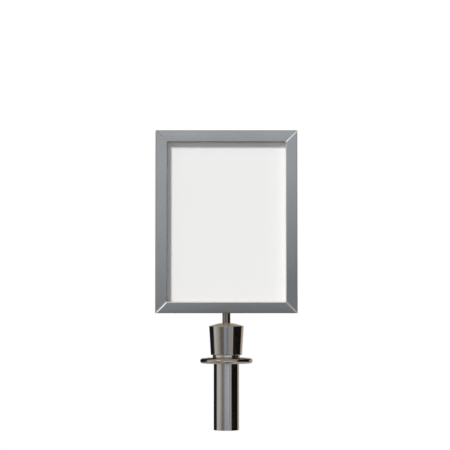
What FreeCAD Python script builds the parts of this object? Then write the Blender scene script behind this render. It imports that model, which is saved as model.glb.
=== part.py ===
import FreeCAD, Part
import math
import os

# All lengths are millimetres. The origin is the centre of the post tube's lower end.
# +Z is up, the sign faces -Y and +Y, and X runs across the sign.

V = FreeCAD.Vector

# post
TUBE_D = 50.8
TUBE_WALL = 1.5
TUBE_TOP = 133.0
PLUG_BOTTOM = 107.0
PLUG_D = 48.4
STUD_D = 12.0
STUD_BOTTOM = 109.0
STUD_TOP = 167.0
STUD_CLEARANCE_D = 12.5

# rope ring and neck
RING_D = 105.0
RIM_WIDTH = 11.0
RIM_HEIGHT = 10.4
RIM_Z = 137.4
WEB_HEIGHT = 4.5
HUB_D = 55.0
HUB_TOP = 145.0
SLOT_IN_R = 29.5
SLOT_OUT_R = 42.5
SLOT_END_ANGLE = 31.0
NECK_TOP = 148.8

# head
HEAD_BOTTOM_D = 62.4
HEAD_TOP_D = 69.1
HEAD_RIM_Z = 205.5
HEAD_WALL = 3.0
HEAD_FLOOR = 4.0
CAP_TOP = 212.2
CAP_FLAT_D = 28.0
SOCKET_D = 27.0
SOCKET_FLANGE_D = 40.0
SOCKET_TOP = 208.0
SOCKET_FLOOR = 171.0
STEM_RUNNING_CLEARANCE = 0.05
GRUB_Z = 185.0
GRUB_D = 5.0

# stem
STEM_D = 16.0
STEM_GROOVE_D = 14.0
STEM_GROOVE_W = 5.5
PAD_HEIGHT = 2.0

# sign frame
FRAME_W = 283.8
FRAME_H = 366.0
FRAME_Z = 232.0
RAIL_W = 23.0
RAIL_T = 22.0
RAIL_WALL = 1.5
SLOT_HALF = 2.45
LIP_LENGTH = 12.0
LIP_WALL = 1.2
OUTER_ROUND = 1.0
INNER_ROUND = 1.0
KEY_ARM = 52.0
PLATE_L = 90.0
PLATE_T = 5.0
PLATE_HOLE_D = 8.5
LENS_PAD_X = 67.0
LENS_PAD_L = 36.0
LENS_PAD_H = 7.5

# insert
SHEET_W = 279.4
SHEET_H = 355.6
SHEET_T = 0.5
LENS_T = 1.5
LENS_NEAR = 0.6
INSERT_LIFT = 0.3

FRAME_TOP = FRAME_Z + FRAME_H
INSERT_Z = FRAME_Z + RAIL_WALL + LENS_PAD_H + INSERT_LIFT


def corner_points(before, here, after, radius):
    """Entry, middle and exit of the round that replaces one corner of an outline."""
    back = (before - here).normalize()
    ahead = (after - here).normalize()
    half = back.getAngle(ahead) / 2
    reach = radius / math.tan(half)
    inward = (back + ahead).normalize()
    middle = here + inward * (radius / math.sin(half) - radius)
    return here + back * reach, middle, here + ahead * reach


def rounded_face(corners, place):
    """A flat face from (a, b, corner radius) triples; place turns (a, b) into a point."""
    points = [place(a, b) for a, b, radius in corners]
    ends = []
    edges = []
    for i, (a, b, radius) in enumerate(corners):
        before = points[i - 1]
        here = points[i]
        after = points[(i + 1) % len(points)]
        if radius > 0:
            start, middle, end = corner_points(before, here, after, radius)
            edges.append(Part.Arc(start, middle, end).toShape())
            ends.append((start, end))
        else:
            ends.append((here, here))
    for i in range(len(points)):
        leave = ends[i - 1][1]
        arrive = ends[i][0]
        if leave.distanceToPoint(arrive) > 1e-6:
            edges.append(Part.makeLine(leave, arrive))
    return Part.Face(Part.Wire(Part.__sortEdges__(edges)))


def turned(corners):
    """A solid of revolution about Z from (radius, z, corner radius) triples."""
    face = rounded_face(corners, lambda r, z: V(r, 0, z))
    return face.revolve(V(0, 0, 0), V(0, 0, 1), 360)


def cylinder(diameter, z0, z1, x=0.0, y=0.0):
    return Part.makeCylinder(diameter / 2, z1 - z0, V(x, y, z0))


def block(x0, x1, y0, y1, z0, z1):
    return Part.makeBox(x1 - x0, y1 - y0, z1 - z0, V(x0, y0, z0))


def prism_y(points, y0, y1):
    """A prism along Y from (x, z) points."""
    wire = Part.makePolygon([V(x, y0, z) for x, z in points + points[:1]])
    return Part.Face(wire).extrude(V(0, y1 - y0, 0))


# ---------------------------------------------------------------- post


def post_tube():
    """The top of the post: a round tube, cut square below and bored out above for the plug."""
    inner = TUBE_D - 2 * TUBE_WALL
    tube = cylinder(TUBE_D, 0, TUBE_TOP).cut(cylinder(inner, 0, TUBE_TOP))
    return tube.cut(cylinder(PLUG_D, PLUG_BOTTOM, TUBE_TOP))


def post_plug():
    """Turned plug pressed into the tube against a shoulder, tapped for the centre stud."""
    radius = PLUG_D / 2
    corners = [
        (STUD_D / 2, PLUG_BOTTOM, 0),
        (radius, PLUG_BOTTOM, 0),
        (radius, TUBE_TOP, 0),
        (STUD_D / 2, TUBE_TOP, 0),
    ]
    return turned(corners)


def centre_stud():
    """Stud that clamps ring, neck and head down on the tube."""
    r = STUD_D / 2
    corners = [
        (0, STUD_BOTTOM, 0),
        (r - 1.0, STUD_BOTTOM, 0),
        (r, STUD_BOTTOM + 1.0, 0),
        (r, STUD_TOP - 1.0, 0),
        (r - 1.0, STUD_TOP, 0),
        (0, STUD_TOP, 0),
    ]
    return turned(corners)


def curved_slot(angle):
    """Cutter for one kidney slot of the rope ring, centred on the given angle."""
    r0 = SLOT_IN_R
    r1 = SLOT_OUT_R
    mid = (r0 + r1) / 2
    width = r1 - r0
    z0 = RIM_Z - RIM_HEIGHT
    z1 = RIM_Z + RIM_HEIGHT
    a0 = math.radians(angle - SLOT_END_ANGLE)
    outline = Part.makePolygon([V(r0, 0, z0), V(r1, 0, z0), V(r1, 0, z1), V(r0, 0, z1), V(r0, 0, z0)])
    face = Part.Face(outline)
    face.rotate(V(0, 0, 0), V(0, 0, 1), math.degrees(a0))
    cutter = face.revolve(V(0, 0, 0), V(0, 0, 1), 2 * SLOT_END_ANGLE)
    for side in (-1, 1):
        a = math.radians(angle + side * SLOT_END_ANGLE)
        cutter = cutter.fuse(cylinder(width, z0, z1, mid * math.cos(a), mid * math.sin(a)))
    return cutter


def rope_ring():
    """Cast ring with a round-edged rim, a thin web and four slots for rope hooks."""
    h = RIM_HEIGHT / 2
    hub = HUB_D / 2
    w = WEB_HEIGHT / 2
    outer = RING_D / 2
    inner = outer - RIM_WIDTH
    bore = STUD_CLEARANCE_D / 2
    corners = [
        (bore, TUBE_TOP, 0),
        (hub, TUBE_TOP, 0.6),
        (hub, RIM_Z - w, 1.0),
        (inner, RIM_Z - w, 0.8),
        (inner + 1.5, RIM_Z - h, 1.2),
        (outer, RIM_Z - h, h - 0.01),
        (outer, RIM_Z + h, h - 0.01),
        (inner + 1.5, RIM_Z + h, 1.2),
        (inner, RIM_Z + w, 0.8),
        (hub, RIM_Z + w, 1.0),
        (hub, HUB_TOP, 0.6),
        (bore, HUB_TOP, 0),
    ]
    ring = turned(corners)
    for k in range(4):
        ring = ring.cut(curved_slot(90.0 * k))
    return ring


def neck_collar():
    """Spacer between the ring and the head."""
    r = HUB_D / 2
    bore = STUD_CLEARANCE_D / 2
    corners = [(bore, HUB_TOP, 0), (r, HUB_TOP, 0.5), (r, NECK_TOP, 0.5), (bore, NECK_TOP, 0)]
    return turned(corners)


# ---------------------------------------------------------------- head


def head_body():
    """Flared turned cup with a bored floor and a hole at the back for the grub screw's key."""
    r0 = HEAD_BOTTOM_D / 2
    r1 = HEAD_TOP_D / 2
    floor = NECK_TOP + HEAD_FLOOR
    bore = STUD_CLEARANCE_D / 2
    corners = [
        (bore, NECK_TOP, 0),
        (r0, NECK_TOP, 1.8),
        (r1, HEAD_RIM_Z, 0),
        (r1 - HEAD_WALL, HEAD_RIM_Z, 0),
        (r0 - HEAD_WALL, floor, 2.0),
        (bore, floor, 0),
    ]
    hole = Part.makeCylinder(3.5, 20.0, V(0, 24.0, GRUB_Z), V(0, 1, 0))
    return turned(corners).cut(hole)


def head_cap():
    """Low domed cap with a spigot in the cup and a bore that clears the stem."""
    rim = HEAD_TOP_D / 2
    spigot = rim - HEAD_WALL - 0.6
    bore = STEM_D / 2 + 0.4
    top_edge = CAP_FLAT_D / 2
    seat = SOCKET_D / 2
    corners = [
        (bore, SOCKET_TOP, 0),
        (seat, SOCKET_TOP, 0),
        (seat, HEAD_RIM_Z - 4.0, 0),
        (spigot, HEAD_RIM_Z - 4.0, 0),
        (spigot + 0.4, HEAD_RIM_Z, 0),
        (rim, HEAD_RIM_Z, 0),
        (rim, HEAD_RIM_Z + 1.0, 1.2),
        (top_edge, CAP_TOP, 30.0),
        (bore, CAP_TOP, 0.5),
    ]
    return turned(corners)


def stem_socket():
    """Flanged socket screwed on the stud; it clamps the cup's floor and carries the stem."""
    bore = STEM_D / 2 + STEM_RUNNING_CLEARANCE
    floor = NECK_TOP + HEAD_FLOOR
    corners = [
        (STUD_D / 2, floor, 0),
        (SOCKET_FLANGE_D / 2, floor, 0),
        (SOCKET_FLANGE_D / 2, floor + 5.0, 0.8),
        (SOCKET_D / 2, floor + 5.0, 1.5),
        (SOCKET_D / 2, SOCKET_TOP, 0),
        (bore, SOCKET_TOP, 0),
        (bore, SOCKET_FLOOR, 0),
        (0, SOCKET_FLOOR, 0),
        (0, STUD_TOP, 0),
        (STUD_D / 2, STUD_TOP, 0),
    ]
    hole = Part.makeCylinder(GRUB_D / 2, 20.0, V(0, 0, GRUB_Z), V(0, 1, 0))
    return turned(corners).cut(hole)


def thrust_pad():
    """Plastic disc at the bottom of the socket; the stem turns on it."""
    return cylinder(STEM_D, SOCKET_FLOOR, SOCKET_FLOOR + PAD_HEIGHT)


def stem_grub_screw():
    """Dog-point grub screw that rides in the stem's groove."""
    tip = STEM_GROOVE_D / 2 + 0.1
    shoulder = STEM_D / 2 + 0.6
    end = SOCKET_D / 2
    axis = V(0, 1, 0)
    point = Part.makeCylinder(1.6, shoulder - tip, V(0, tip, GRUB_Z), axis)
    body = Part.makeCylinder(GRUB_D / 2, end - shoulder, V(0, shoulder, GRUB_Z), axis)
    screw = point.fuse(body).removeSplitter()
    ring = []
    for k in range(7):
        a = math.radians(60.0 * k)
        ring.append(V(1.45 * math.cos(a), end, GRUB_Z + 1.45 * math.sin(a)))
    hexagon = Part.Face(Part.makePolygon(ring)).extrude(V(0, -2.5, 0))
    return screw.cut(hexagon)


# ---------------------------------------------------------------- stem and its fixing


def stem():
    """Round stem with a groove for the grub screw and a spigot through the bottom rail."""
    r = STEM_D / 2
    g = STEM_GROOVE_D / 2
    low = SOCKET_FLOOR + PAD_HEIGHT + STEM_RUNNING_CLEARANCE
    z0 = GRUB_Z - STEM_GROOVE_W / 2
    z1 = GRUB_Z + STEM_GROOVE_W / 2
    web_top = FRAME_Z + RAIL_WALL
    corners = [
        (0, low, 0),
        (r - 1.0, low, 0),
        (r, low + 1.0, 0),
        (r, z0, 0),
        (g, z0, 0),
        (g, z1, 0),
        (r, z1, 0),
        (r, FRAME_Z, 0),
        (6.0, FRAME_Z, 0),
        (6.0, web_top, 0),
        (4.0, web_top, 0),
        (4.0, FRAME_Z - 20.0, 0),
        (0, FRAME_Z - 22.0, 0),
    ]
    return turned(corners)


def stem_plate():
    """Plate inside the bottom rail; it fits between the rail's faces and cannot turn."""
    z0 = FRAME_Z + RAIL_WALL
    z1 = z0 + PLATE_T
    y = RAIL_T / 2 - RAIL_WALL
    plate = block(-PLATE_L / 2, PLATE_L / 2, -y, y, z0, z1)
    plate = plate.cut(cylinder(PLATE_HOLE_D, z0, z1))
    sink = Part.makeCone(PLATE_HOLE_D / 2, PLATE_HOLE_D / 2 + 4.0, 4.0, V(0, 0, z1 - 4.0))
    return plate.cut(sink)


def stem_screw():
    """Countersunk screw through the plate into the stem."""
    z1 = FRAME_Z + RAIL_WALL + PLATE_T
    corners = [
        (0, FRAME_Z - 18.0, 0),
        (3.2, FRAME_Z - 18.0, 0),
        (4.0, FRAME_Z - 17.0, 0),
        (4.0, z1 - 4.25, 0),
        (8.0, z1 - 0.25, 0),
        (0, z1 - 0.25, 0),
    ]
    screw = turned(corners)
    ring = []
    for k in range(7):
        a = math.radians(60.0 * k)
        ring.append(V(2.9 * math.cos(a), 2.9 * math.sin(a), z1))
    return screw.cut(Part.Face(Part.makePolygon(ring)).extrude(V(0, 0, -3.2)))


# ---------------------------------------------------------------- frame


def rail_outline():
    """Outline of the open rail profile: u runs inwards from the outer edge, v through it."""
    w = RAIL_W
    h = RAIL_T / 2
    t = RAIL_WALL
    s = SLOT_HALF
    k = s + LIP_WALL
    u = w - LIP_LENGTH
    near = [
        (0, -h, OUTER_ROUND),
        (w, -h, INNER_ROUND),
        (w, -s, 0.3),
        (u, -s, 0.3),
        (u, -k, 0.3),
        (w - t, -k, 0),
        (w - t, -h + t, 0),
        (t, -h + t, 0),
    ]
    far = [(a, -b, r) for a, b, r in reversed(near)]
    return near + far


def half_outline(side):
    """Outline of one half of the top rail, whose outer wall stops at the slot."""
    w = RAIL_W
    h = RAIL_T / 2
    t = RAIL_WALL
    s = SLOT_HALF
    k = s + LIP_WALL
    u = w - LIP_LENGTH
    near = [
        (0, -h, OUTER_ROUND),
        (w, -h, INNER_ROUND),
        (w, -s, 0.3),
        (u, -s, 0.3),
        (u, -k, 0.3),
        (w - t, -k, 0),
        (w - t, -h + t, 0),
        (t, -h + t, 0),
        (t, -s, 0.3),
        (0, -s, 0.3),
    ]
    return [(a, b * side, r) for a, b, r in near]


def upright(outline, side):
    """A left (side -1) or right (side +1) rail, mitred at both ends."""
    half = FRAME_W / 2
    face = rounded_face(outline, lambda u, v: V(side * (half - u), v, FRAME_Z))
    rail = face.extrude(V(0, 0, FRAME_H))
    inner = half - RAIL_W
    points = [
        (side * half, FRAME_Z),
        (side * half, FRAME_TOP),
        (side * inner, FRAME_TOP - RAIL_W),
        (side * inner, FRAME_Z + RAIL_W),
    ]
    return rail.common(prism_y(points, -RAIL_T, RAIL_T))


def crossbar(outline, z, rise):
    """A bottom (rise +1) or top (rise -1) rail whose outer edge is at z, mitred at both ends."""
    half = FRAME_W / 2
    face = rounded_face(outline, lambda u, v: V(-half, v, z + rise * u))
    rail = face.extrude(V(FRAME_W, 0, 0))
    inner = half - RAIL_W
    points = [(-half, z), (half, z), (inner, z + rise * RAIL_W), (-inner, z + rise * RAIL_W)]
    return rail.common(prism_y(points, -RAIL_T, RAIL_T))


def rail_left():
    return upright(rail_outline(), -1)


def rail_right():
    return upright(rail_outline(), 1)


def rail_bottom():
    rail = crossbar(rail_outline(), FRAME_Z, 1)
    return rail.cut(cylinder(12.0, FRAME_Z - 1, FRAME_Z + RAIL_WALL + 1))


def rail_top_front():
    return crossbar(half_outline(1), FRAME_TOP, -1)


def rail_top_back():
    return crossbar(half_outline(-1), FRAME_TOP, -1)


def corner_keys(side):
    """Four L-shaped keys in the front (side -1) or back (side +1) half of the rails."""
    low = SLOT_HALF + LIP_WALL
    high = RAIL_T / 2 - RAIL_WALL
    a = RAIL_WALL
    b = RAIL_W - RAIL_WALL
    keys = []
    for sx in (-1, 1):
        for z, rise in ((FRAME_Z, 1), (FRAME_TOP, -1)):
            outline = [(a, a), (KEY_ARM, a), (KEY_ARM, b), (b, b), (b, KEY_ARM), (a, KEY_ARM)]
            points = [(sx * (FRAME_W / 2 - p), z + rise * q) for p, q in outline]
            keys.append(prism_y(points, side * low, side * high))
    return Part.makeCompound(keys)


def lens_pads():
    """Two rubber blocks in the bottom rail that the lenses and the sheet stand on."""
    y = RAIL_T / 2 - RAIL_WALL
    z0 = FRAME_Z + RAIL_WALL
    pads = []
    for side in (-1, 1):
        x = side * LENS_PAD_X
        pads.append(block(x - LENS_PAD_L / 2, x + LENS_PAD_L / 2, -y, y, z0, z0 + LENS_PAD_H))
    return Part.makeCompound(pads)


# ---------------------------------------------------------------- insert


def pane(y0, y1):
    """A flat panel with small rounded corners that stands on the pads."""
    panel = block(-SHEET_W / 2, SHEET_W / 2, y0, y1, INSERT_Z, INSERT_Z + SHEET_H)
    uprights = [e for e in panel.Edges if abs(e.Vertexes[0].Y - e.Vertexes[-1].Y) > 1e-6]
    return panel.makeFillet(1.0, uprights)


def front_lens():
    return pane(-LENS_NEAR - LENS_T, -LENS_NEAR)


def back_lens():
    return pane(LENS_NEAR, LENS_NEAR + LENS_T)


def sign_sheet():
    return pane(-SHEET_T / 2, SHEET_T / 2)


NODES = {
    "post_tube": post_tube,
    "post_plug": post_plug,
    "centre_stud": centre_stud,
    "rope_ring": rope_ring,
    "neck_collar": neck_collar,
    "head_body": head_body,
    "head_cap": head_cap,
    "stem_socket": stem_socket,
    "thrust_pad": thrust_pad,
    "stem_grub_screw": stem_grub_screw,
    "stem": stem,
    "stem_plate": stem_plate,
    "stem_screw": stem_screw,
    "rail_left": rail_left,
    "rail_right": rail_right,
    "rail_bottom": rail_bottom,
    "rail_top_front": rail_top_front,
    "rail_top_back": rail_top_back,
    "corner_keys_front": lambda: corner_keys(-1),
    "corner_keys_back": lambda: corner_keys(1),
    "lens_pads": lens_pads,
    "front_lens": front_lens,
    "back_lens": back_lens,
    "sign_sheet": sign_sheet,
}

os.makedirs("parts", exist_ok=True)
for name, make in NODES.items():
    shape = make()
    shape.exportStep("parts/" + name + ".step")
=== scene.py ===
"""Looks of the sign stand: satin metal post top, rope ring, mitred sign frame and blank sheet."""
import math

import bmesh
import bpy
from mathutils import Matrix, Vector


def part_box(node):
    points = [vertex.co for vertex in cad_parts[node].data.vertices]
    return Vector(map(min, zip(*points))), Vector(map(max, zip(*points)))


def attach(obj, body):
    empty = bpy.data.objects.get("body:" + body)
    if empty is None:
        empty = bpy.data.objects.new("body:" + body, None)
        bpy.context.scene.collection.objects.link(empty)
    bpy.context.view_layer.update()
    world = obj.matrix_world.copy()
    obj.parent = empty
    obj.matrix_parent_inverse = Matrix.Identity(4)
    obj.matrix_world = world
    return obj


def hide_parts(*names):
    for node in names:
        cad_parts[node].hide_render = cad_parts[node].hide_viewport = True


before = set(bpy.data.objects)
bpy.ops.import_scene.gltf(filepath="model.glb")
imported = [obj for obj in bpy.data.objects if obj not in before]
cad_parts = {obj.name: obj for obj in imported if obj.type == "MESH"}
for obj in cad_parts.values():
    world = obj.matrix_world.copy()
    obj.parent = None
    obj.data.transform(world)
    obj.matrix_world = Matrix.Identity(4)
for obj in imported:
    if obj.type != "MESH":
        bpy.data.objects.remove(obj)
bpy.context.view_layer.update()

MM = 0.001
scene = bpy.context.scene
scene.view_settings.view_transform = "Standard"

# ------------------------------------------------------------------ camera

PHOTO_WIDTH = 0.900          # width of the picture at the post's axis, metres
DISTANCE = 3.000
CAMERA_X = -0.0028
CAMERA_Z = 0.235
CENTRE_Z = 0.4086            # height at the middle of the picture
SHIFT = 0.05                 # as a share of the picture's width
SENSOR = 36.0

camera_data = bpy.data.cameras.new("camera")
camera = bpy.data.objects.new("camera", camera_data)
scene.collection.objects.link(camera)
camera_data.sensor_width = SENSOR
camera_data.lens = SENSOR * DISTANCE / PHOTO_WIDTH
camera_data.shift_y = SHIFT
rise = math.atan2(CENTRE_Z - CAMERA_Z, DISTANCE) - math.atan2(SHIFT * PHOTO_WIDTH, DISTANCE)
camera.location = (CAMERA_X, -DISTANCE, CAMERA_Z)
camera.rotation_euler = (math.radians(90) + rise, 0, 0)
scene.camera = camera

# ------------------------------------------------------------------ node helpers


def add(tree, kind, inputs=(), **settings):
    """A shader node with its settings and its plain or linked inputs."""
    node = tree.nodes.new("ShaderNode" + kind)
    for key, value in settings.items():
        setattr(node, key, value)
    for key, value in dict(inputs).items():
        if isinstance(value, bpy.types.NodeSocket):
            tree.links.new(value, node.inputs[key])
        else:
            node.inputs[key].default_value = value
    return node


def maths(tree, operation, a, b=0.0, c=0.0):
    return add(tree, "Math", {0: a, 1: b, 2: c}, operation=operation).outputs[0]


def dot(tree, where, way):
    inputs = {0: where, 1: way}
    return add(tree, "VectorMath", inputs, operation="DOT_PRODUCT").outputs["Value"]


def ramp(tree, factor, stops):
    """Colours along a factor, from (place, colour) pairs in rising order."""
    node = add(tree, "ValToRGB", {0: factor})
    elements = node.color_ramp.elements
    while len(elements) < len(stops):
        elements.new(0.5)
    for element, (place, colour) in zip(elements, stops):
        element.position = place
        element.color = (*colour, 1.0)
    return node.outputs["Color"]


def spread(tree, value, low, high, to_low, to_high):
    """Takes one range of a value to another and holds it at both ends."""
    node = add(tree, "MapRange", {0: value, 1: low, 2: high, 3: to_low, 4: to_high})
    return node.outputs[0]


def noise_to(tree, noise, to_low, to_high, reach=0.2):
    """Takes the middle of a noise, where nearly all of it lies, to a range of its own."""
    return spread(tree, noise, 0.5 - reach, 0.5 + reach, to_low, to_high)


def mixed(tree, factor, a, b, blend="MIX"):
    node = add(tree, "Mix", data_type="RGBA", blend_type=blend)
    for key, value in ((0, factor), (6, a), (7, b)):
        if isinstance(value, bpy.types.NodeSocket):
            tree.links.new(value, node.inputs[key])
        elif key == 0:
            node.inputs[key].default_value = value
        else:
            node.inputs[key].default_value = (*value, 1.0)
    return node.outputs[2]


def stretched(tree, stretch, detail=4.0, roughness=0.55):
    """Noise drawn out along the axes where the stretch is small: brushing marks."""
    where = add(tree, "TexCoord").outputs["Object"]
    scaled = add(tree, "VectorMath", {0: where, 1: stretch}, operation="MULTIPLY").outputs[0]
    inputs = {"Vector": scaled, "Scale": 1.0, "Detail": detail, "Roughness": roughness}
    return add(tree, "TexNoise", inputs).outputs["Fac"]


def blotches(tree, scale, detail=3.0):
    """Even noise without a direction."""
    where = add(tree, "TexCoord").outputs["Object"]
    return add(tree, "TexNoise", {"Vector": where, "Scale": scale, "Detail": detail}).outputs["Fac"]


def new_material(name, **constants):
    """A material, its tree and its Principled node, with constants set on the shader."""
    material = bpy.data.materials.new(name)
    material.use_nodes = True
    tree = material.node_tree
    shader = tree.nodes["Principled BSDF"]
    for key, value in constants.items():
        shader.inputs[key.replace("_", " ")].default_value = value
    return material, tree, shader


def dress(tree, shader, colour, roughness, height, strength, depth):
    """Links a colour, a roughness and a bump of the given height to the shader."""
    raised = add(tree, "Bump", {"Strength": strength, "Distance": depth, "Height": height})
    for key, value in (("Base Color", colour), ("Roughness", roughness), ("Normal", raised.outputs[0])):
        tree.links.new(value, shader.inputs[key])


def shade(colour, factor):
    """A darker or lighter version of a colour."""
    return tuple(min(1.0, part * factor) for part in colour)


# ------------------------------------------------------------------ brushed metal

TONE = 0.06                  # brushing marks are this much darker or lighter than the metal
GRAIN = 0.05                 # and this much smoother or rougher
MARK_DEPTH = 0.2 * MM
WORN_TONE = 0.82             # a worn place's brightness
BLOTCH_SCALE = 14.0          # noise scale of worn places

PAINTED_SHADE_WAY = (0.76, 0.0, -1.70)    # the frame's colour is painted darker towards its lower right corner: painted shade
PAINTED_SHADE_START = -1.06
PAINTED_SHADE_MOST = 0.65


def painted_shade_ramp(tree):
    """Painted shade: grey that gets darker as the square of the way along the direction above, towards the
    frame's lower right corner.
    """
    along = dot(tree, add(tree, "TexCoord").outputs["Object"], PAINTED_SHADE_WAY)
    far = spread(tree, along, PAINTED_SHADE_START, PAINTED_SHADE_START + PAINTED_SHADE_MOST, 0.0, PAINTED_SHADE_MOST)
    return maths(tree, "SUBTRACT", 1.0, maths(tree, "MULTIPLY", far, far))


def brushed(name, colour, rough, stretch, bump=0.05, blotch=0.04, fade=False, metal=1.0, **constants):
    """Brushed metal: fine marks along one way, slow changes of tone, both in colour and gloss, and optional
    painted shade towards the lower right.
    """
    material, tree, shader = new_material(name, Metallic=metal, **constants)
    marks = stretched(tree, stretch)
    slow = blotches(tree, BLOTCH_SCALE)
    tint = mixed(tree, noise_to(tree, marks, 0.0, 1.0), shade(colour, 1 - TONE), shade(colour, 1 + TONE))
    worn = noise_to(tree, slow, 0.0, blotch * 4, reach=0.15)
    tint = mixed(tree, worn, tint, shade(colour, WORN_TONE))
    # painted shade: the colour gets darker towards the frame's lower right corner
    if fade:
        tint = mixed(tree, 1.0, tint, painted_shade_ramp(tree), "MULTIPLY")
    gloss = noise_to(tree, marks, rough - GRAIN, rough + GRAIN, reach=0.25)
    gloss = maths(tree, "ADD", gloss, noise_to(tree, slow, -blotch, blotch))
    dress(tree, shader, tint, gloss, marks, bump, MARK_DEPTH)
    return material


ROUND_BRUSH = (30.0, 30.0, 2600.0)       # marks run round the post
LEVEL_BRUSH = (16.0, 1800.0, 1800.0)     # marks run along X
UPRIGHT_BRUSH = (1800.0, 1800.0, 16.0)   # marks run along Z
PLATE_GRAIN = (300.0, 300.0, 900.0)
MILL_GRAIN = (500.0, 500.0, 60.0)

turned_steel = brushed("turned_satin_steel", (0.60, 0.59, 0.58), 0.14, ROUND_BRUSH, Anisotropic=0.6,
                       Anisotropic_Rotation=0.25)
ring_steel = brushed("ring_polished_steel", (0.56, 0.50, 0.44), 0.09, ROUND_BRUSH, bump=0.03)
neck_steel = brushed("neck_polished_steel", (0.86, 0.87, 0.88), 0.11, ROUND_BRUSH, bump=0.03)
stem_steel = brushed("stem_satin_steel", (0.305, 0.287, 0.263), 0.08, ROUND_BRUSH, bump=0.03)
# the cap is satin steel; its tan tint and matt share are painted reflection of warm light on the dome
cap_steel_painted_sheen = brushed("cap_satin_steel_painted_sheen", (0.36, 0.31, 0.243), 0.26, ROUND_BRUSH, metal=0.6)
plain_steel = brushed("plain_turned_steel", (0.42, 0.42, 0.42), 0.34, ROUND_BRUSH, blotch=0.06)
zinc = brushed("zinc_plate", (0.60, 0.62, 0.66), 0.30, PLATE_GRAIN, blotch=0.06)
mill_finish = brushed("mill_finish_aluminium", (0.70, 0.70, 0.71), 0.42, MILL_GRAIN, blotch=0.05)

# the rails' colour carries painted shade towards their lower right corner
SATIN = {"colour": (0.393, 0.402, 0.413), "rough": 0.30, "blotch": 0.03, "fade": True, "metal": 0.75}
rail_level = brushed("rail_brushed_along_x", stretch=LEVEL_BRUSH, **SATIN)
rail_upright = brushed("rail_brushed_along_z", stretch=UPRIGHT_BRUSH, **SATIN)

# ------------------------------------------------------------------ other materials

SKIN_TONE = 0.86             # the skin's darkest brightness
SKIN_GRAIN = 0.08            # how much its roughness goes up and down
SKIN_BUMP = 0.25
FINE_SKIN = 900.0            # noise scale of rubber and of smoothed edges


def moulded(name, colour, rough, scale, depth, **constants):
    """A fine skin texture and slight tone changes: plastic, rubber, a coating or a smoothed edge."""
    material, tree, shader = new_material(name, **constants)
    skin = blotches(tree, scale, 5.0)
    tint = mixed(tree, noise_to(tree, skin, 0.0, 1.0), shade(colour, SKIN_TONE), colour)
    gloss = noise_to(tree, skin, rough - SKIN_GRAIN, rough + SKIN_GRAIN)
    dress(tree, shader, tint, gloss, skin, SKIN_BUMP, depth)
    return material


nylon = moulded("natural_nylon", (0.80, 0.79, 0.74), 0.45, 700.0, 0.1 * MM)
rubber = moulded("pad_rubber", (0.035, 0.035, 0.037), 0.72, FINE_SKIN, 0.2 * MM)
black_oxide = moulded("black_oxide", (0.028, 0.028, 0.030), 0.40, 1200.0, 0.1 * MM, Metallic=0.6)

filed_edge = moulded("filed_edge", (0.86, 0.87, 0.88), 0.24, FINE_SKIN, 0.02 * MM, Metallic=1.0)
# painted highlight: the gold tint stands in for warm light mirrored in the rounded outer edges; the left
# and top rails also wear it on their inner rims
edge_painted_highlight = moulded("edge_painted_highlight", (0.54, 0.42, 0.25), 0.26, FINE_SKIN, 0.02 * MM, Metallic=0.95)
# painted highlight: a bright warm rim for the right and bottom rails' inner edges, the side the key lamp
# lights
lit_rim_painted_highlight = moulded("lit_rim_painted_highlight", (0.92, 0.84, 0.74), 0.30, FINE_SKIN, 0.02 * MM, Metallic=0.5)
# painted light: bright inner faces for the right and bottom rails, the side the key lamp lights
inside_painted_light = moulded("inside_face_painted_light", (0.94, 0.93, 0.92), 0.50, FINE_SKIN, 0.05 * MM, Metallic=0.1)
# painted shade: dark inner faces for the top rails, above the sheet's shaded strip
inside_painted_shade = moulded("inside_face_painted_shade", (0.04, 0.04, 0.035), 0.50, FINE_SKIN, 0.05 * MM, Metallic=0.1)


def white_card():
    """Matt card with faint upright fibres and slow mottling."""
    material, tree, shader = new_material("white_card", IOR=1.45)
    fibres = stretched(tree, (420.0, 420.0, 160.0), 6.0, 0.65)
    mottle = blotches(tree, 60.0, 4.0)
    tint = mixed(tree, noise_to(tree, fibres, 0.0, 1.0), (0.827, 0.810, 0.808), (0.857, 0.839, 0.838))
    tint = mixed(tree, noise_to(tree, mottle, 0.0, 0.25), tint, (0.813, 0.795, 0.794))
    dress(tree, shader, tint, noise_to(tree, fibres, 0.62, 0.78), fibres, 0.15, 0.05 * MM)
    return material


def clear_acrylic():
    """Clear sheet that mirrors on its outer side by Fresnel's share, with a slight haze."""
    material = bpy.data.materials.new("clear_acrylic")
    material.use_nodes = True
    tree = material.node_tree
    tree.nodes.remove(tree.nodes["Principled BSDF"])
    haze = noise_to(tree, stretched(tree, (90.0, 90.0, 40.0), 5.0, 0.6), 0.03, 0.07)
    shine = add(tree, "BsdfGlossy", {"Color": (1, 1, 1, 1), "Roughness": haze})
    clear = add(tree, "BsdfTransparent", {"Color": (0.985, 0.99, 0.99, 1)})
    edge = add(tree, "Fresnel", {"IOR": 1.49})
    outer_side = maths(tree, "SUBTRACT", 1.0, add(tree, "NewGeometry").outputs["Backfacing"])
    mirrored = maths(tree, "MULTIPLY", edge.outputs[0], outer_side)
    pane = add(tree, "MixShader", {0: mirrored, 1: clear.outputs[0], 2: shine.outputs[0]})
    tree.links.new(pane.outputs[0], tree.nodes["Material Output"].inputs["Surface"])
    return material


card = white_card()
acrylic = clear_acrylic()

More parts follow.
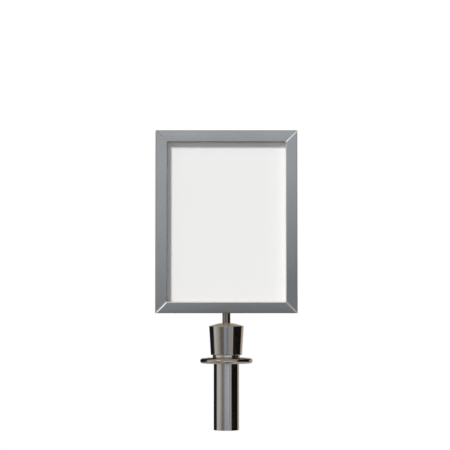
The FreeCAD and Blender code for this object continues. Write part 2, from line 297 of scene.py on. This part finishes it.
NODE_MATERIALS = {
    "post_tube": turned_steel, "neck_collar": neck_steel, "head_body": turned_steel,
    "head_cap": cap_steel_painted_sheen, "stem": stem_steel, "rope_ring": ring_steel,
    "post_plug": plain_steel, "stem_socket": plain_steel, "stem_plate": plain_steel,
    "centre_stud": zinc, "thrust_pad": nylon, "stem_grub_screw": black_oxide,
    "stem_screw": black_oxide, "lens_pads": rubber, "corner_keys_front": mill_finish,
    "corner_keys_back": mill_finish, "rail_left": rail_upright, "rail_right": rail_upright,
    "rail_bottom": rail_level, "rail_top_front": rail_level, "rail_top_back": rail_level,
    "front_lens": acrylic, "back_lens": acrylic, "sign_sheet": card,
}
for name, material in NODE_MATERIALS.items():
    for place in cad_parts[name].material_slots:
        place.material = material

# ------------------------------------------------------------------ rails

RAIL_WIDTH = 23.0 * MM
RAIL_HALF_THICK = 11.0 * MM
WALL = 1.5 * MM
SLOT_HALF = 2.45 * MM        # half the width of the slot for lenses and sheet
LIP_WALL = 1.2 * MM          # a lip on each side of the slot guides them
LIP_LENGTH = 12.0 * MM
CROWN = 0.18 * MM            # the faces bulge by this much in the middle
EDGE_ROUND = 1.3 * MM        # outer edges
INNER_ROUND = 0.6 * MM       # edges towards the sheet
LOWER_ROUND = 1.7 * MM       # the bottom rail's edges towards the sheet
BEVEL_WIDE = 1.9 * MM        # filed bevel along each mitre
BEVEL_DEEP = 0.86 * MM
ROUND_STEPS = 6
FACE_STEPS = 10
SHARP = math.radians(20)     # edges that turn by more than this stay sharp
NEAR_ENOUGH = 0.1 * MM       # a point this close to the rail's inner face lies on it


def quarter(centre, start, radius):
    """Points of a quarter circle that turns clockwise from an angle in degrees."""
    for k in range(ROUND_STEPS + 1):
        angle = math.radians(start - 90.0 * k / ROUND_STEPS)
        yield (centre[0] + radius * math.cos(angle), centre[1] + radius * math.sin(angle))


def near_half(inner):
    """One half of a rail's outline: (u inwards from the outer edge, v through the rail)."""
    half = RAIL_HALF_THICK - CROWN
    outer_arc = [(u, -v) for u, v in quarter((EDGE_ROUND, half - EDGE_ROUND), 180.0, EDGE_ROUND)]
    inner_arc = [(u, -v) for u, v in quarter((RAIL_WIDTH - inner, half - inner), 90.0, inner)]
    face = []
    for k in range(1, FACE_STEPS):
        part = k / FACE_STEPS
        bulge = CROWN * (1 - (2 * part - 1) ** 2)
        face.append((EDGE_ROUND + part * (RAIL_WIDTH - EDGE_ROUND - inner), -half - bulge))
    lip_end = RAIL_WIDTH - LIP_LENGTH
    lip_back = SLOT_HALF + LIP_WALL
    cavity = [
        (RAIL_WIDTH, -SLOT_HALF), (lip_end, -SLOT_HALF), (lip_end, -lip_back),
        (RAIL_WIDTH - WALL, -lip_back), (RAIL_WIDTH - WALL, -RAIL_HALF_THICK + WALL),
        (WALL, -RAIL_HALF_THICK + WALL)]
    return outer_arc + face + inner_arc + cavity


def whole_outline(inner=INNER_ROUND):
    """The outline of a rail in one piece: both halves, joined along the outer wall."""
    near = near_half(inner)
    return near + [(u, -v) for u, v in reversed(near)]


def half_rail_outline(side):
    """The outline of the top rail's front (-1) or back (1) half, open towards the slot."""
    near = near_half(INNER_ROUND) + [(WALL, -SLOT_HALF), (0.0, -SLOT_HALF)]
    return [(u, -side * v) for u, v in near]


def sink(v):
    """How far a point of the outline lies lower at the mitre, where the faces are bevelled."""
    edge = RAIL_HALF_THICK - CROWN - EDGE_ROUND
    return BEVEL_DEEP * min(1.0, max(0.0, (abs(v) - edge) / EDGE_ROUND))


FACE, FILED, ROUNDED, INSIDE, RIM = range(5)


def finish(a, b, inner):
    """Which finish the strip between two points of the outline has."""
    u = (a[0] + b[0]) / 2
    v = abs(a[1] + b[1]) / 2
    half = RAIL_HALF_THICK - CROWN
    if v > half - EDGE_ROUND and u < EDGE_ROUND:
        return ROUNDED
    if v > half - inner and u > RAIL_WIDTH - inner:
        return RIM
    if v > SLOT_HALF and min(a[0], b[0]) > RAIL_WIDTH - NEAR_ENOUGH:
        return INSIDE
    return FACE


def rail(name, node, outline, length, place, material, inside, rim, inner=INNER_ROUND):
    """A mitred rail that stands for a CAD node; place turns (along, u, v) into a point."""
    bm = bmesh.new()
    reach = length / 2
    run = BEVEL_WIDE * math.sqrt(2)
    lowered = [(u, v - math.copysign(sink(v), v)) for u, v in outline]
    rings = [[bm.verts.new(place(u - reach, u, v)) for u, v in lowered],
             [bm.verts.new(place(u + run - reach, u, v)) for u, v in outline],
             [bm.verts.new(place(reach - run - u, u, v)) for u, v in outline],
             [bm.verts.new(place(reach - u, u, v)) for u, v in lowered]]
    count = len(outline)
    for step in range(3):
        ring, following = rings[step], rings[step + 1]
        for k in range(count):
            after = (k + 1) % count
            face = bm.faces.new((ring[k], ring[after], following[after], following[k]))
            filed = step != 1 and sink(outline[k][1]) + sink(outline[after][1]) > BEVEL_DEEP
            face.material_index = FILED if filed else finish(outline[k], outline[after], inner)
    bm.faces.new(rings[0])
    bm.faces.new(rings[-1])
    bmesh.ops.recalc_face_normals(bm, faces=bm.faces)
    mesh = bpy.data.meshes.new(name)
    bm.to_mesh(mesh)
    bm.free()
    for face in mesh.polygons:
        face.use_smooth = True
    mesh.set_sharp_from_angle(angle=SHARP)
    for each in (material, filed_edge, edge_painted_highlight, inside, rim):   # in the order of FACE to RIM
        mesh.materials.append(each)
    piece = bpy.data.objects.new(name, mesh)
    scene.collection.objects.link(piece)
    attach(piece, "sign_frame")
    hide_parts(node)


left_low, left_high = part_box("rail_left")
frame_half = -left_low[0]
frame_low, frame_high = left_low[2], left_high[2]
frame_middle = (frame_low + frame_high) / 2
frame_wide = 2 * frame_half
frame_tall = frame_high - frame_low

# the left rail's inner rim gets the painted edge highlight
rail("left_rail", "rail_left", whole_outline(), frame_tall,
     lambda t, u, v: (-frame_half + u, v, frame_middle + t), rail_upright, rail_upright, edge_painted_highlight)
# painted light: the right and bottom rails have bright inner faces and rims
rail("right_rail", "rail_right", whole_outline(), frame_tall,
     lambda t, u, v: (frame_half - u, v, frame_middle + t), rail_upright, inside_painted_light, lit_rim_painted_highlight)
rail("bottom_rail", "rail_bottom", whole_outline(LOWER_ROUND), frame_wide,
     lambda t, u, v: (t, v, frame_low + u), rail_level, inside_painted_light, lit_rim_painted_highlight, LOWER_ROUND)
# painted shade: the top rails have dark inner faces
for suffix, side in (("front", -1), ("back", 1)):
    rail("top_rail_" + suffix, "rail_top_" + suffix, half_rail_outline(side), frame_wide,
         lambda t, u, v: (t, v, frame_high - u), rail_level, inside_painted_shade, edge_painted_highlight)

# ------------------------------------------------------------------ the room's light

AMBIENT_CUT = 0.35           # matt surfaces get this much less of the room's light
LAMP_WAY = Vector((-0.526, -0.667, 0.526)).normalized()
LAMP_CORE = 7.0              # the lamp is fully bright up to this many degrees off LAMP_WAY
LAMP_RIM = 13.0              # and has faded out here
LAMP_COLOUR = (0.93, 0.98, 1.0)
LAMP_STRENGTH = 1.6
FRONT_CORE = 24.0            # up to this many degrees to either side the front gets brighter with height
FRONT_RIM = 44.0             # and from here on it doesn't

world = bpy.data.worlds.new("studio")
scene.world = world
world.use_nodes = True
tree = world.node_tree
tree.nodes.clear()
way = add(tree, "TexCoord").outputs["Generated"]
across, along, up = add(tree, "SeparateXYZ", {0: way}).outputs
turn = maths(tree, "ARCTAN2", across, maths(tree, "MULTIPLY", along, -1.0))
turn = maths(tree, "MULTIPLY_ADD", turn, 1 / (2 * math.pi), 0.5)


def around(*stops):
    """Colours round one storey of the room, from (bearing, colour) pairs.

    A bearing is in degrees, 0 towards -Y, where the camera is, and positive to the right.
    """
    return ramp(tree, turn, [(degrees / 360.0 + 0.5, colour) for degrees, colour in stops])


def upwards(*stops):
    """Greys from straight down to straight up, from (sine of the height, grey) pairs."""
    height = maths(tree, "MULTIPLY_ADD", up, 0.5, 0.5)
    return ramp(tree, height, [((sine + 1) / 2, (grey, grey, grey)) for sine, grey in stops])


BLACK = (0.008, 0.008, 0.007)
BLUE_BLACK = (0.014, 0.018, 0.022)
TAN = (0.62, 0.51, 0.42)
BACK = (0.56, 0.56, 0.55)
BACK_HIGH = (0.42, 0.36, 0.29)
BACK_LOW = (0.50, 0.50, 0.50)
CEILING = (0.48, 0.42, 0.33)

overhead = around((-180, CEILING), (70, CEILING), (85, BLACK), (155, BLACK), (170, CEILING))
upstairs = around(
    (-180, BACK_HIGH), (-172, (0.27, 0.21, 0.15)), (-162, BLUE_BLACK), (-104, BLUE_BLACK),
    (-96, (0.50, 0.46, 0.41)), (-60, (0.50, 0.46, 0.40)), (-44, (0.32, 0.27, 0.22)),
    (2, (0.36, 0.35, 0.33)), (20, (0.37, 0.36, 0.35)), (43, (0.42, 0.42, 0.42)),
    (54, (0.44, 0.44, 0.44)), (60, BLACK), (160, BLACK), (165, TAN), (172, (0.58, 0.55, 0.49)),
    (180, BACK_HIGH))
eye_level = around(
    (-180, BACK), (-168, BACK), (-160, BLUE_BLACK), (-100, BLUE_BLACK), (-94, (0.64, 0.61, 0.58)),
    (-60, (0.62, 0.60, 0.57)), (-50, (0.45, 0.43, 0.40)), (-38, (0.27, 0.25, 0.22)),
    (-26, (0.28, 0.25, 0.22)), (-8, (0.51, 0.53, 0.575)), (8, (0.49, 0.535, 0.58)),
    (18, (0.64, 0.66, 0.68)), (27, (0.40, 0.40, 0.39)), (40, (0.50, 0.48, 0.45)),
    (44, (0.50, 0.48, 0.45)), (47, BLACK), (120, BLACK), (125, TAN), (165, TAN), (180, BACK))
downstairs = around(
    (-180, BACK), (-150, BLUE_BLACK), (-96, BLUE_BLACK), (-91, (0.68, 0.67, 0.63)),
    (-82, (0.66, 0.64, 0.60)), (-73, (0.52, 0.45, 0.38)), (-62, (0.40, 0.35, 0.29)),
    (-50, (0.28, 0.25, 0.23)), (-40, (0.13, 0.116, 0.096)), (-20, (0.117, 0.104, 0.092)),
    (-12, (0.34, 0.35, 0.36)), (-5, (0.33, 0.34, 0.36)), (1, (0.17, 0.18, 0.20)),
    (15, (0.16, 0.175, 0.18)), (22, (0.36, 0.36, 0.33)), (38, (0.38, 0.33, 0.29)),
    (45, (0.62, 0.54, 0.48)), (49, BLACK), (119, BLACK), (124, (0.43, 0.34, 0.24)),
    (145, (0.50, 0.48, 0.45)), (180, BACK))
ground = around(
    (-180, BACK_LOW), (-100, (0.40, 0.40, 0.40)), (-60, (0.38, 0.38, 0.38)), (-25, (0.38, 0.38, 0.37)),
    (20, (0.20, 0.17, 0.15)), (38, (0.46, 0.46, 0.48)), (60, (0.60, 0.60, 0.62)),
    (115, (0.56, 0.56, 0.58)), (180, BACK_LOW))

sideways = maths(tree, "ABSOLUTE", maths(tree, "SUBTRACT", turn, 0.5))
in_front = spread(tree, sideways, FRONT_CORE / 360.0, FRONT_RIM / 360.0, 1.0, 0.0)
rising = upwards(
    (-1.0, 1.0), (-0.035, 1.0), (0.005, 0.75), (0.058, 1.28), (0.125, 1.92), (0.22, 2.1), (1.0, 2.1))
eye_level = mixed(tree, 1.0, eye_level, mixed(tree, in_front, (1.0, 1.0, 1.0), rising), "MULTIPLY")

# Each storey takes over from the one below between two heights, given as sines.
STOREYS = (
    (downstairs, -0.44, -0.28), (eye_level, -0.125, -0.090), (upstairs, 0.22, 0.40),
    (overhead, 0.80, 0.95))
room = ground
for storey, begins, full in STOREYS:
    room = mixed(tree, spread(tree, up, begins, full, 0.0, 1.0), room, storey)

off_lamp = dot(tree, way, LAMP_WAY)
lamp = spread(tree, off_lamp, math.cos(math.radians(LAMP_RIM)), math.cos(math.radians(LAMP_CORE)), 0.0, 1.0)
room = mixed(tree, lamp, room, LAMP_COLOUR)
strength = spread(tree, lamp, 0.0, 1.0, 1.0, LAMP_STRENGTH)
ray = add(tree, "LightPath").outputs
softened = maths(tree, "MULTIPLY_ADD", ray["Is Diffuse Ray"], -AMBIENT_CUT, 1.0)
inside = add(tree, "Background", {0: room, 1: maths(tree, "MULTIPLY", strength, softened)})
backdrop = add(tree, "Background", {0: (1.0, 1.0, 1.0, 1.0), 1: 1.0})
both = add(tree, "MixShader", {0: ray["Is Camera Ray"], 1: inside.outputs[0], 2: backdrop.outputs[0]})
tree.links.new(both.outputs[0], add(tree, "OutputWorld").inputs["Surface"])

# ------------------------------------------------------------------ lamps


def sun(name, energy, degrees, source):
    """A sun this many degrees wide in the source's direction, not mirrored in the metal."""
    data = bpy.data.lights.new(name, "SUN")
    data.energy = energy
    data.angle = math.radians(degrees)
    light = bpy.data.objects.new(name, data)
    light.rotation_mode = "QUATERNION"
    light.rotation_quaternion = Vector(source).to_track_quat("Z", "Y")
    light.visible_glossy = False
    scene.collection.objects.link(light)


sun("key", 4.0, 12, (-0.88, -1.0, 1.12))
sun("fill", 2.8, 30, (0.55, 1.0, 0.75))

# ------------------------------------------------------------------ floor

FLOOR_Z = -0.90
FLOOR_RADIUS = 2.2
FLOOR_SEGMENTS = 96

bm = bmesh.new()
bmesh.ops.create_circle(bm, cap_ends=True, segments=FLOOR_SEGMENTS, radius=FLOOR_RADIUS)
floor_mesh = bpy.data.meshes.new("floor")
bm.to_mesh(floor_mesh)
bm.free()
floor = bpy.data.objects.new("floor", floor_mesh)
floor.location.z = FLOOR_Z
floor.visible_glossy = False
scene.collection.objects.link(floor)
floor_material, floor_tree, floor_shader = new_material("pale_floor", Roughness=0.8)
floor_tint = mixed(floor_tree, blotches(floor_tree, 3.0), (0.60, 0.60, 0.60), (0.64, 0.64, 0.64))
floor_tree.links.new(floor_tint, floor_shader.inputs["Base Color"])
floor_mesh.materials.append(floor_material)
